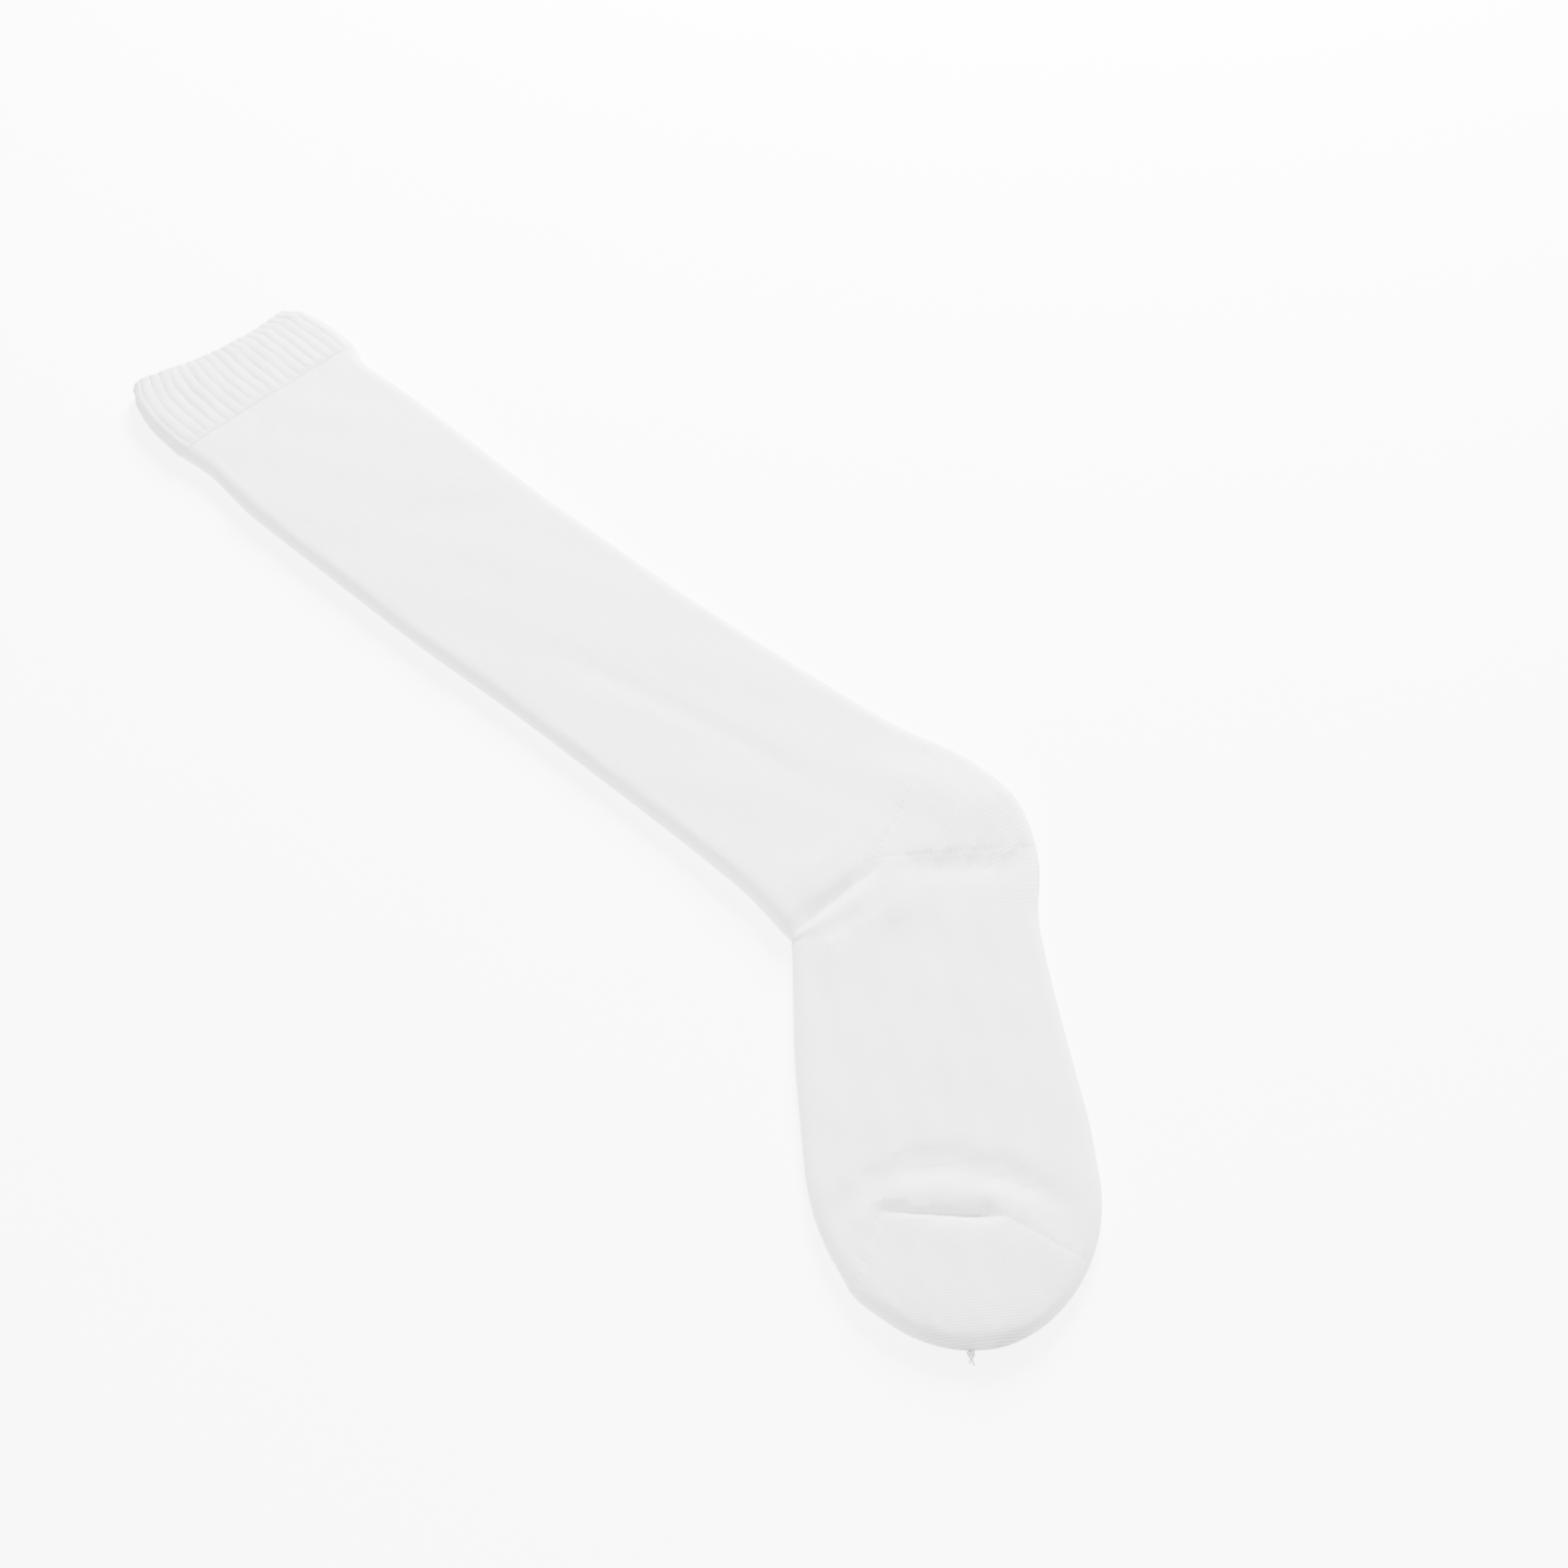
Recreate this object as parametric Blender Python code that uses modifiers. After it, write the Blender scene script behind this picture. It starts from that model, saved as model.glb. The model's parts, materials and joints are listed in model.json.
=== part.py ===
"""A knee-length knitted sock, lying empty and flat on its side.

Metres, +Z up. The leg runs along Y with the cuff towards +Y, the foot turns off towards
-X and -Y, and the heel points to +X. The origin is under the middle of the sock, on the
surface that it lies on.
"""
import math

import bmesh
import bpy
import numpy as np

# Driving dimensions
LEG_LENGTH = 0.418
LEG_WIDTH = 0.094
CUFF_LENGTH = 0.052
INSTEP_LENGTH = 0.1504
FOOT_WIDTH = 0.105
FOOT_TURN = math.radians(44.5)
BEND_RADIUS = 0.053
LOFT = 0.0082
CROWN = 0.0010
EDGE_ROUND = 0.0060
EDGE_HEIGHT = 0.36
WALL = 0.0015
GAP = 0.0003
RIB_COUNT = 40
RIB_DEPTH = 0.0005
MOUTH_SLANT = math.radians(12.1)
CUFF_SLANT = math.radians(6.0)
MOUTH_SCOOP = 0.0062
SCOOP_MIDDLE = 0.008
SCOOP_HALF_WIDTH = 0.038
MOUTH_BACK = 0.0026
SEAM_GROOVE = 0.0018
SEAM_THREAD = 0.0010
KNOT_LENGTH = 0.0030
KNOT_WIDTH = 0.0022

# EDGE_HEIGHT: how high the folded edge lies, as a share of the loft there.

# Number of facets
EDGE_STEPS = 3
FACE_STEPS = 12
CUFF_RINGS = 4
LEG_RINGS = 13
ANKLE_RINGS = 13
FOOT_RINGS = 9
TOE_RINGS = 17
SEAM_BEADS = 16

# Sections of the leg. down: share of LEG_LENGTH. The reaches to both edges: shares of half
# LEG_WIDTH. loft: share of LOFT.
LEG_SECTIONS = (
    # down, instep, heel, loft
    (0.000, 0.785, 0.95, 0.92),
    (0.024, 0.885, 1.055, 1.00),
    (0.072, 0.995, 1.085, 1.00),
    (0.120, 1.02, 1.065, 0.98),
    (0.155, 0.99, 0.975, 0.98),
    (0.240, 1.06, 0.98, 1.02),
    (0.480, 1.05, 0.925, 1.00),
    (0.650, 0.992, 0.935, 0.98),
    (0.860, 0.975, 1.03, 1.02),
    (0.930, 0.99, 1.08, 1.08),
)
# Sections round the ankle. turned: share of FOOT_TURN. instep: share of BEND_RADIUS. heel: share
# of half FOOT_WIDTH. loft: share of LOFT.
ANKLE_SECTIONS = (
    # turned, instep, heel, loft
    (0.00, 0.955, 1.085, 1.12),
    (0.33, 0.970, 1.130, 1.12),
    (0.50, 0.975, 1.083, 1.08),
    (0.70, 0.975, 0.991, 1.02),
    (1.00, 0.975, 0.851, 1.00),
)
# Sections of the foot. along: share of INSTEP_LENGTH past the instep corner. The reaches:
# shares of half FOOT_WIDTH. loft: share of LOFT.
FOOT_SECTIONS = (
    # along, instep, sole, loft
    (0.13, 1.011, 0.858, 1.00),
    (0.33, 1.049, 0.892, 1.00),
    (0.55, 1.056, 0.933, 0.96),
    (0.66, 1.059, 0.928, 0.94),
    (1.00, 1.059, 0.928, 0.86),
)
# A slight corner that the toe's instep edge has: along as in the sections, half_width in the same
# shares, reach as a share of half FOOT_WIDTH.
TOE_CORNER = {"along": 0.862, "half_width": 0.035, "reach": 0.030}
# The toe's outline narrows like a superellipse from each of these places on.
TOE_ROUND = {
    # side: (start as a share of INSTEP_LENGTH, roundness)
    "instep": (0.56, 2.07),
    "sole": (0.65, 1.88),
}

# Folds and swellings of the upper face. Places are (down or along, across): shares of
# LEG_LENGTH and LEG_WIDTH for the leg, of INSTEP_LENGTH and FOOT_WIDTH for the foot.
# half_width: share of LEG_WIDTH or FOOT_WIDTH. rise: share of LOFT.
FOLDS = (
    # name, frame, from, through, to, half_width, rise
    ("instep crease", "leg", (0.985, -0.74), (1.003, -0.33), (1.017, -0.03), 0.046, -0.40),
    ("above the crease", "leg", (0.955, -0.60), (0.968, -0.30), (0.980, -0.02), 0.070, 0.12),
    ("below the crease", "leg", (1.030, -0.60), (1.048, -0.30), (1.060, -0.02), 0.090, 0.14),
    ("heel swelling", "leg", (0.950, 0.20), (1.010, 0.36), (1.080, 0.42), 0.200, 0.28),
    ("under the heel", "leg", (1.028, -0.02), (1.078, 0.17), (1.132, 0.42), 0.062, -0.26),
    ("long leg crease", "leg", (0.600, -0.20), (0.780, -0.02), (0.930, 0.07), 0.075, -0.12),
    ("calf fold", "leg", (0.345, -0.25), (0.428, 0.20), (0.480, 0.50), 0.120, -0.09),
    ("toe fold", "foot", (0.715, -0.49), (0.594, -0.10), (0.720, 0.36), 0.041, -0.31),
    ("toe ridge", "foot", (0.700, -0.44), (0.648, -0.09), (0.745, 0.27), 0.044, 0.17),
    ("seam valley", "foot", (0.672, -0.40), (0.700, -0.08), (0.735, 0.24), 0.028, -0.12),
)

# The knitted boundaries, as (down or along, across) places in the same shares as the folds
HEEL_GORE_TIP = (1.010, -0.048)
HEEL_LEG_EDGE = (0.968, 0.74)
HEEL_SOLE_EDGE = (1.135, 0.52)
TOE_SEAM_ENDS = ((0.682, -0.295), (0.722, 0.120))
TOE_GORE_ENDS = ((0.920, -0.455), (0.930, 0.560))
# Places clear of the sock that close the heel's and the toe's regions
HEEL_BEYOND = ((0.960, 1.10), (1.160, 1.10))
TOE_BEYOND = ((1.20, 0.60), (1.20, -0.60))

FULL_LENGTH = LEG_LENGTH + BEND_RADIUS * FOOT_TURN + INSTEP_LENGTH
BEND_LENGTH = BEND_RADIUS * FOOT_TURN
HALF_LEG = LEG_WIDTH / 2
HALF_FOOT = FOOT_WIDTH / 2
PIVOT = np.array([-BEND_RADIUS, -LEG_LENGTH])
FOOT_AXIS = np.array([-math.sin(FOOT_TURN), -math.cos(FOOT_TURN)])
FOOT_ACROSS = np.array([math.cos(FOOT_TURN), -math.sin(FOOT_TURN)])
FOOT_START = PIVOT + BEND_RADIUS * FOOT_ACROSS


def section_rows():
    """Every section as (distance down the sock, instep reach, heel reach, loft), in metres."""
    rows = []
    for down, instep, heel, loft in LEG_SECTIONS:
        rows.append((down * LEG_LENGTH, instep * HALF_LEG, heel * HALF_LEG, loft * LOFT))
    for turned, instep, heel, loft in ANKLE_SECTIONS:
        distance = LEG_LENGTH + turned * BEND_LENGTH
        rows.append((distance, instep * BEND_RADIUS, heel * HALF_FOOT, loft * LOFT))
    for along, instep, sole, loft in FOOT_SECTIONS:
        distance = LEG_LENGTH + BEND_LENGTH + along * INSTEP_LENGTH
        rows.append((distance, instep * HALF_FOOT, sole * HALF_FOOT, loft * LOFT))
    return np.array(rows)


def smooth_curve(places, values, at):
    """A smooth curve through the values that never swings past them."""
    step = np.diff(places)
    slope = np.diff(values) / step
    tangent = np.zeros(len(values))
    for i in range(1, len(values) - 1):
        if slope[i - 1] * slope[i] > 0:
            tangent[i] = 2 * slope[i - 1] * slope[i] / (slope[i - 1] + slope[i])
    i = int(np.clip(np.searchsorted(places, at) - 1, 0, len(step) - 1))
    t = (at - places[i]) / step[i]
    start = values[i] * (1 + 2 * t) * (1 - t) ** 2 + tangent[i] * step[i] * t * (1 - t) ** 2
    end = values[i + 1] * t * t * (3 - 2 * t) + tangent[i + 1] * step[i] * t * t * (t - 1)
    return start + end


ROWS = section_rows()


def narrowing(distance, side):
    """How much of its width the toe has left at a distance down the sock."""
    start, roundness = TOE_ROUND[side]
    first = LEG_LENGTH + BEND_LENGTH + start * INSTEP_LENGTH
    share = np.clip((distance - first) / (FULL_LENGTH - first), 0.0, 1.0)
    return (1.0 - share ** roundness) ** (1.0 / roundness)


def reaches(distance):
    """The distances from the middle line to the instep edge and to the heel edge."""
    instep = smooth_curve(ROWS[:, 0], ROWS[:, 1], distance) * narrowing(distance, "instep")
    along = (distance - LEG_LENGTH - BEND_LENGTH) / INSTEP_LENGTH
    from_corner = (along - TOE_CORNER["along"]) / TOE_CORNER["half_width"]
    instep += TOE_CORNER["reach"] * HALF_FOOT * math.exp(-from_corner ** 2)
    heel = smooth_curve(ROWS[:, 0], ROWS[:, 2], distance) * narrowing(distance, "sole")
    return instep, heel


def plan_point(distance, across):
    """A point seen from above: distance down the middle line, and across it to the heel side."""
    if distance <= LEG_LENGTH:
        fade = max(0.0, 1.0 - distance / CUFF_LENGTH)
        past_cuff = np.clip(2.0 - distance / CUFF_LENGTH, 0.0, 1.0)
        slant = CUFF_SLANT * past_cuff + (MOUTH_SLANT - CUFF_SLANT) * fade
        scoop = MOUTH_SCOOP * max(0.0, 1.0 - ((across - SCOOP_MIDDLE) / SCOOP_HALF_WIDTH) ** 2)
        back = (MOUTH_BACK + scoop) * fade
        return np.array([across, -distance - across * math.tan(slant) - back])
    turned = min((distance - LEG_LENGTH) / BEND_RADIUS, FOOT_TURN)
    outwards = np.array([math.cos(turned), -math.sin(turned)])
    onwards = max(0.0, distance - LEG_LENGTH - BEND_LENGTH)
    return PIVOT + (BEND_RADIUS + across) * outwards + onwards * FOOT_AXIS


def outline():
    """The two edges and the toe, seen from above, as one open line from mouth to mouth."""
    even = np.linspace(-0.02 * LEG_LENGTH, LEG_LENGTH + BEND_LENGTH + 0.5 * INSTEP_LENGTH, 160)
    rounding = np.sin(np.linspace(0.0, math.pi / 2, 60))
    toe = even[-1] + (FULL_LENGTH - even[-1]) * rounding
    stations = np.concatenate([even, toe[1:]])
    instep_edge = []
    heel_edge = []
    for distance in stations:
        instep, heel = reaches(max(distance, 0.0))
        instep_edge.append(plan_point(distance, -instep))
        heel_edge.append(plan_point(distance, heel))
    return np.array(instep_edge + heel_edge[::-1])


OUTLINE = outline()


def edge_distance(point):
    """How far a point seen from above is from the sock's edge."""
    start = OUTLINE[:-1]
    run = OUTLINE[1:] - start
    length = np.maximum((run * run).sum(1), 1e-12)
    share = np.clip(((point - start) * run).sum(1) / length, 0.0, 1.0)
    return np.sqrt((((start + run * share[:, None]) - point) ** 2).sum(1)).min()


def place(frame, spot):
    """A (down or along, across) place in shares, as a point seen from above."""
    along, across = spot
    if frame == "leg":
        return np.array([across * LEG_WIDTH, -along * LEG_LENGTH])
    return FOOT_START + along * INSTEP_LENGTH * FOOT_AXIS + across * FOOT_WIDTH * FOOT_ACROSS


def fold_lines():
    """Each fold as a curved line of points, with its half width and its rise."""
    lines = []
    for _, frame, first, through, last, half_width, rise in FOLDS:
        a, b, c = (place(frame, spot) for spot in (first, through, last))
        bend = 2 * b - (a + c) / 2
        share = np.linspace(0.0, 1.0, 25)[:, None]
        line = a * (1 - share) ** 2 + 2 * bend * share * (1 - share) + c * share ** 2
        width = half_width * (LEG_WIDTH if frame == "leg" else FOOT_WIDTH)
        lines.append((line, width, rise * LOFT))
    return lines


FOLD_LINES = fold_lines()


def fold_rise(point):
    """The height that the folds add to the upper face at a point."""
    total = 0.0
    for line, half_width, rise in FOLD_LINES:
        away = np.sqrt(((line - point) ** 2).sum(1))
        nearest = int(away.argmin())
        fade = math.sin(math.pi * nearest / (len(line) - 1))
        total += rise * math.exp(-2 * (away[nearest] / half_width) ** 2) * min(1.0, 1.5 * fade)
    return total


def face_heights(distance, across):
    """The heights of the lower and upper faces at a place on the sock."""
    point = plan_point(distance, across)
    loft = smooth_curve(ROWS[:, 0], ROWS[:, 3], min(distance, FULL_LENGTH))
    inset = min(1.0, edge_distance(point) / EDGE_ROUND)
    rounding = math.sqrt(inset * (2.0 - inset))
    instep, heel = reaches(distance)
    centred = (2 * across + instep - heel) / max(instep + heel, 1e-6)
    crown = CROWN * max(0.0, 1.0 - centred * centred) * loft / LOFT
    edge = EDGE_HEIGHT * loft
    return edge * (1.0 - rounding), edge + (loft - edge + crown + fold_rise(point)) * rounding


def ring_places(distance):
    """The places across the sock where its mesh has points, from instep to heel edge."""
    instep, heel = reaches(distance)
    width = instep + heel
    edge = min(EDGE_ROUND, 0.3 * width)
    arc = [1.0 - math.cos(math.pi / 2 * i / EDGE_STEPS) for i in range(EDGE_STEPS)]
    middle = [i / FACE_STEPS for i in range(FACE_STEPS + 1)]
    flat = width - 2 * edge
    left = [-instep + edge * share for share in arc]
    between = [-instep + edge + flat * share for share in middle]
    right = [heel - edge * share for share in reversed(arc)]
    return left + between + right


def ring_points(distance):
    """One closed ring of the plain knit: over the upper face, back along the lower one."""
    upper = []
    lower = []
    for across in ring_places(distance):
        x, y = plan_point(distance, across)
        low, high = face_heights(distance, across)
        upper.append((x, y, high))
        lower.append((x, y, low))
    return upper + lower[-2:0:-1]


def ribbed_ring(distance):
    """One closed ring of the cuff, with a ridge and a furrow for each rib."""
    ring = np.array(ring_points(distance))
    ring[:, 2] += RIB_DEPTH
    closed = np.vstack([ring, ring[:1]])
    girth = np.concatenate([[0.0], np.cumsum(np.linalg.norm(np.diff(closed, axis=0), axis=1))])
    even = np.arange(2 * RIB_COUNT) / (2 * RIB_COUNT) * girth[-1]
    points = np.stack([np.interp(even, girth, closed[:, k]) for k in range(3)], axis=1)
    along = np.roll(points, -1, axis=0) - np.roll(points, 1, axis=0)
    down = np.array([0.0, -1.0, 0.0])
    outwards = np.cross(along, down)
    outwards /= np.linalg.norm(outwards, axis=1)[:, None]
    if (outwards * (points - points.mean(0))).sum() < 0:
        outwards = -outwards
    points[0::2] += outwards[0::2] * RIB_DEPTH
    points[:, 2] = np.maximum(points[:, 2], 0.0)
    return [tuple(point) for point in points]


def lofted_tube(rings, closed_tip=None):
    """A tube through rings of equal count, with a tip where the last ring closes."""
    mesh = bmesh.new()
    loops = [[mesh.verts.new(point) for point in ring] for ring in rings]
    for upper, lower in zip(loops[:-1], loops[1:]):
        count = len(upper)
        for i in range(count):
            j = (i + 1) % count
            mesh.faces.new((upper[i], upper[j], lower[j], lower[i]))
    if closed_tip is not None:
        tip = mesh.verts.new(closed_tip)
        last = loops[-1]
        for i in range(len(last)):
            mesh.faces.new((last[i], last[(i + 1) % len(last)], tip))
    bmesh.ops.recalc_face_normals(mesh, faces=mesh.faces)
    return mesh


def make_object(name, mesh, collection):
    """A named object from a bmesh."""
    data = bpy.data.meshes.new(name)
    mesh.to_mesh(data)
    mesh.free()
    made = bpy.data.objects.new(name, data)
    collection.objects.link(made)
    return made


def add_wall(made):
    """Gives an open surface its knitted wall, on the inner side."""
    wall = made.modifiers.new("wall", "SOLIDIFY")
    wall.thickness = WALL
    wall.offset = -1.0
    wall.use_rim = True
    wall.use_even_offset = False


def prism(name, points, low, high, collection):
    """A cutter with upright sides on an outline seen from above."""
    mesh = bmesh.new()
    base = [mesh.verts.new((x, y, low)) for x, y in points]
    face = mesh.faces.new(base)
    raised = bmesh.ops.extrude_face_region(mesh, geom=[face])["geom"]
    for item in raised:
        if isinstance(item, bmesh.types.BMVert):
            item.co.z = high
    bmesh.ops.recalc_face_normals(mesh, faces=mesh.faces)
    cutter = make_object(name, mesh, collection)
    cutter.hide_render = True
    cutter.display_type = "WIRE"
    return cutter


def cut(made, cutter, operation):
    """A Boolean with a cutter."""
    step = made.modifiers.new(cutter.name, "BOOLEAN")
    step.operation = operation
    step.object = cutter
    step.solver = "MANIFOLD"


def grown(points, by):
    """An open line of places moved to its right by a distance, with mitred corners."""
    line = np.array(points)
    run = np.diff(line, axis=0)
    run /= np.linalg.norm(run, axis=1)[:, None]
    side = np.stack([run[:, 1], -run[:, 0]], axis=1)
    moved = [line[0] + side[0] * by]
    for i in range(1, len(line) - 1):
        mitre = side[i - 1] + side[i]
        mitre /= np.linalg.norm(mitre)
        moved.append(line[i] + mitre * by / float(mitre @ side[i]))
    moved.append(line[-1] + side[-1] * by)
    return moved


def heel_line():
    """The two gore lines of the heel, from the sole side over the tip to the leg side."""
    spots = (HEEL_SOLE_EDGE, HEEL_GORE_TIP, HEEL_LEG_EDGE)
    return [place("leg", spot) for spot in spots]


def heel_outside():
    """Places outside the heel that close the heel's region."""
    return [place("leg", spot) for spot in HEEL_BEYOND]


def toe_line():
    """The toe's gore lines and seam, from the instep edge to the sole edge."""
    first, last = TOE_GORE_ENDS
    spots = (first, TOE_SEAM_ENDS[0], TOE_SEAM_ENDS[1], last)
    return [place("foot", spot) for spot in spots]


def toe_outside():
    """Places past the tip that close the toe's region."""
    return [place("foot", spot) for spot in TOE_BEYOND]


def knit_material(name, colour, roughness):
    """A matt knitted finish."""
    material = bpy.data.materials.new(name)
    material.use_nodes = True
    shader = material.node_tree.nodes["Principled BSDF"]
    shader.inputs["Base Color"].default_value = (*colour, 1.0)
    shader.inputs["Roughness"].default_value = roughness
    shader.inputs["Metallic"].default_value = 0.0
    material.diffuse_color = (*colour, 1.0)
    return material


def dressed(made, colour, roughness):
    """Gives an object its own material and smooth shading."""
    made.data.materials.append(knit_material(made.name, colour, roughness))
    made.data.shade_smooth()
    made.data.set_sharp_from_angle(angle=math.radians(50))
    return made


def spread(first, last, count):
    """Even places between two, without the last."""
    return [first + (last - first) * i / count for i in range(count)]


def ribbed_cuff(parts):
    """The elastic ribbed band at the mouth."""
    rings = [ribbed_ring(at) for at in spread(0.0, CUFF_LENGTH, CUFF_RINGS)]
    rings.append(ribbed_ring(CUFF_LENGTH - GAP))
    cuff = make_object("ribbed_cuff", lofted_tube(rings), parts)
    add_wall(cuff)
    return dressed(cuff, (0.86, 0.86, 0.86), 0.9)


def plain_tube(name, parts):
    """The plain knit from the cuff to the tip of the toe, before its pieces are parted."""
    foot_start = LEG_LENGTH + BEND_LENGTH
    toe_start = foot_start + 0.54 * INSTEP_LENGTH
    last_leg = LEG_LENGTH - 0.25 * HALF_LEG
    stations = spread(CUFF_LENGTH, last_leg, LEG_RINGS)
    stations += spread(last_leg, foot_start, ANKLE_RINGS)
    stations += spread(foot_start, toe_start, FOOT_RINGS)
    for i in range(TOE_RINGS):
        stations.append(toe_start + (FULL_LENGTH - toe_start) * math.sin(math.pi / 2 * i / TOE_RINGS))
    rings = [ring_points(distance) for distance in stations]
    x, y = plan_point(FULL_LENGTH, 0.0)
    tip_loft = smooth_curve(ROWS[:, 0], ROWS[:, 3], FULL_LENGTH)
    tube = make_object(name, lofted_tube(rings, (x, y, EDGE_HEIGHT * tip_loft)), parts)
    add_wall(tube)
    return tube


def leg_and_foot(parts, cutters):
    """Leg, instep and sole: the plain tube without heel and toe."""
    tube = plain_tube("leg_and_foot", parts)
    top = 4 * LOFT
    heel = grown(heel_line(), -GAP) + heel_outside()
    toe = grown(toe_line(), -GAP) + toe_outside()
    cut(tube, prism("heel_room", heel, -LOFT, top, cutters), "DIFFERENCE")
    cut(tube, prism("toe_room", toe, -LOFT, top, cutters), "DIFFERENCE")
    cut(tube, seam_groove(cutters), "DIFFERENCE")
    return dressed(tube, (0.88, 0.88, 0.88), 0.9)


def heel_pocket(parts, cutters):
    """The turned heel between its gore lines."""
    tube = plain_tube("heel_pocket", parts)
    region = heel_line() + heel_outside()
    cut(tube, prism("heel_region", region, -LOFT, 4 * LOFT, cutters), "INTERSECT")
    return dressed(tube, (0.89, 0.89, 0.89), 0.9)


def toe_cap(parts, cutters):
    """The toe pocket past the seam."""
    tube = plain_tube("toe_cap", parts)
    region = toe_line() + toe_outside()
    cut(tube, prism("toe_region", region, -LOFT, 4 * LOFT, cutters), "INTERSECT")
    cut(tube, seam_groove(cutters), "DIFFERENCE")
    return dressed(tube, (0.89, 0.89, 0.89), 0.9)


def seam_groove(cutters):
    """The groove in the upper face that the seam's stitches lie in."""
    known = cutters.objects.get("seam_groove")
    if known:
        return known
    first, last = (place("foot", spot) for spot in TOE_SEAM_ENDS)
    run = (last - first) / np.linalg.norm(last - first)
    side = np.array([run[1], -run[0]]) * SEAM_GROOVE / 2
    corners = [first - side, last - side, last + side, first + side]
    return prism("seam_groove", corners, LOFT / 2, 4 * LOFT, cutters)


def toe_seam(parts):
    """The row of linking stitches, lying in its groove across the top of the toes."""
    first, last = (place("foot", spot) for spot in TOE_SEAM_ENDS)
    run = (last - first) / np.linalg.norm(last - first)
    first = first + run * 2 * GAP
    last = last - run * 2 * GAP
    curve = bpy.data.curves.new("toe_seam", "CURVE")
    curve.dimensions = "3D"
    curve.bevel_depth = SEAM_THREAD / 2
    curve.bevel_resolution = 2
    curve.use_fill_caps = True
    spline = curve.splines.new("POLY")
    spline.points.add(SEAM_BEADS)
    for i, point in enumerate(spline.points):
        x, y = first + (last - first) * i / SEAM_BEADS
        height = seam_height((x, y))
        point.co = (x, y, height, 1.0)
    seam = bpy.data.objects.new("toe_seam", curve)
    parts.objects.link(seam)
    curve.materials.append(knit_material("toe_seam", (0.8, 0.8, 0.8), 0.9))
    return seam


def seam_height(spot):
    """The height of the seam's middle: just under the upper face beside it."""
    offset = np.array(spot) - FOOT_START
    distance = LEG_LENGTH + BEND_LENGTH + float(offset @ FOOT_AXIS)
    _, high = face_heights(distance, float(offset @ FOOT_ACROSS))
    return high - WALL / 2


def yarn_end(parts):
    """The knot of the closing yarn, against the tip of the toe."""
    instep, _ = reaches(FULL_LENGTH - GAP)
    start = plan_point(FULL_LENGTH, -instep)
    centre = start + FOOT_AXIS * (KNOT_LENGTH / 2 + GAP)
    mesh = bmesh.new()
    bmesh.ops.create_uvsphere(mesh, u_segments=12, v_segments=8, radius=0.5)
    for vert in mesh.verts:
        x, y, z = vert.co
        lean = centre + FOOT_AXIS * x * KNOT_LENGTH + FOOT_ACROSS * y * KNOT_WIDTH
        vert.co = (lean[0], lean[1], EDGE_HEIGHT * LOFT + z * KNOT_WIDTH)
    return dressed(make_object("yarn_end", mesh, parts), (0.7, 0.7, 0.7), 0.95)


def settle(parts, cutters):
    """Moves everything so that the origin is under the middle of the sock's box."""
    bpy.context.view_layer.update()
    depsgraph = bpy.context.evaluated_depsgraph_get()
    corners = []
    for made in parts.objects:
        finished = made.evaluated_get(depsgraph)
        corners += [tuple(vert.co) for vert in finished.to_mesh().vertices]
        finished.to_mesh_clear()
    corners = np.array(corners)
    low = corners.min(0)
    middle = (low + corners.max(0)) / 2
    for made in list(parts.objects) + list(cutters.objects):
        made.location = (-middle[0], -middle[1], -low[2])


def main():
    """Builds the sock."""
    for made in list(bpy.data.objects):
        bpy.data.objects.remove(made, do_unlink=True)
    parts = bpy.data.collections.new("knee_sock")
    cutters = bpy.data.collections.new("cutters")
    for collection in (parts, cutters):
        bpy.context.scene.collection.children.link(collection)
    ribbed_cuff(parts)
    leg_and_foot(parts, cutters)
    heel_pocket(parts, cutters)
    toe_cap(parts, cutters)
    toe_seam(parts)
    yarn_end(parts)
    settle(parts, cutters)


main()
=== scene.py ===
"""The looks of a knee-length white knitted sock, lying empty and flat on its side."""
import json
import math

import bmesh
import bpy
import numpy as np
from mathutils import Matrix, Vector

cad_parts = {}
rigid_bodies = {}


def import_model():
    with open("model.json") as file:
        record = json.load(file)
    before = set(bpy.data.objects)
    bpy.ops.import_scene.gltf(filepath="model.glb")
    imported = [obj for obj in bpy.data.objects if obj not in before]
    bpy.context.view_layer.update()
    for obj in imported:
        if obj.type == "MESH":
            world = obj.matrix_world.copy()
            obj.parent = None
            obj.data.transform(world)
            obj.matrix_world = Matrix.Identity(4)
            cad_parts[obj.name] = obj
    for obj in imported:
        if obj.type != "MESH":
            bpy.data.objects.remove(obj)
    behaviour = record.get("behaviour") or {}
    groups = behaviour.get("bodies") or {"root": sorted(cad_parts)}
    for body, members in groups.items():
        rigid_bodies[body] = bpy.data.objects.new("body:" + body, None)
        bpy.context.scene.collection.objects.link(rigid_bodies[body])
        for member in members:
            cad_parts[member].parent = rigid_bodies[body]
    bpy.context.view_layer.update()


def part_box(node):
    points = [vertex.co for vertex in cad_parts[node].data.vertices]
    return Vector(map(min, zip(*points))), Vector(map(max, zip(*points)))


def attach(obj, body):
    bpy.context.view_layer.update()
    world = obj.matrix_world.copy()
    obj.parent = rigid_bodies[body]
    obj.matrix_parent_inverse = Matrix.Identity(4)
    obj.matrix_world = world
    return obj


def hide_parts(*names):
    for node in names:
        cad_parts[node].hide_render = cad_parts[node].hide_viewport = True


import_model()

# The sock's sizes, in metres, as its solids have them
LEG_LENGTH = 0.418
LEG_WIDTH = 0.094
CUFF_LENGTH = 0.052
INSTEP_LENGTH = 0.1504
FOOT_WIDTH = 0.105
FOOT_TURN = math.radians(44.5)
BEND_RADIUS = 0.053
LOFT = 0.0082
CROWN = 0.0010
EDGE_ROUND = 0.0060
EDGE_HEIGHT = 0.36
WALL = 0.0015
RIB_COUNT = 40
RIB_DEPTH = 0.0005
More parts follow.
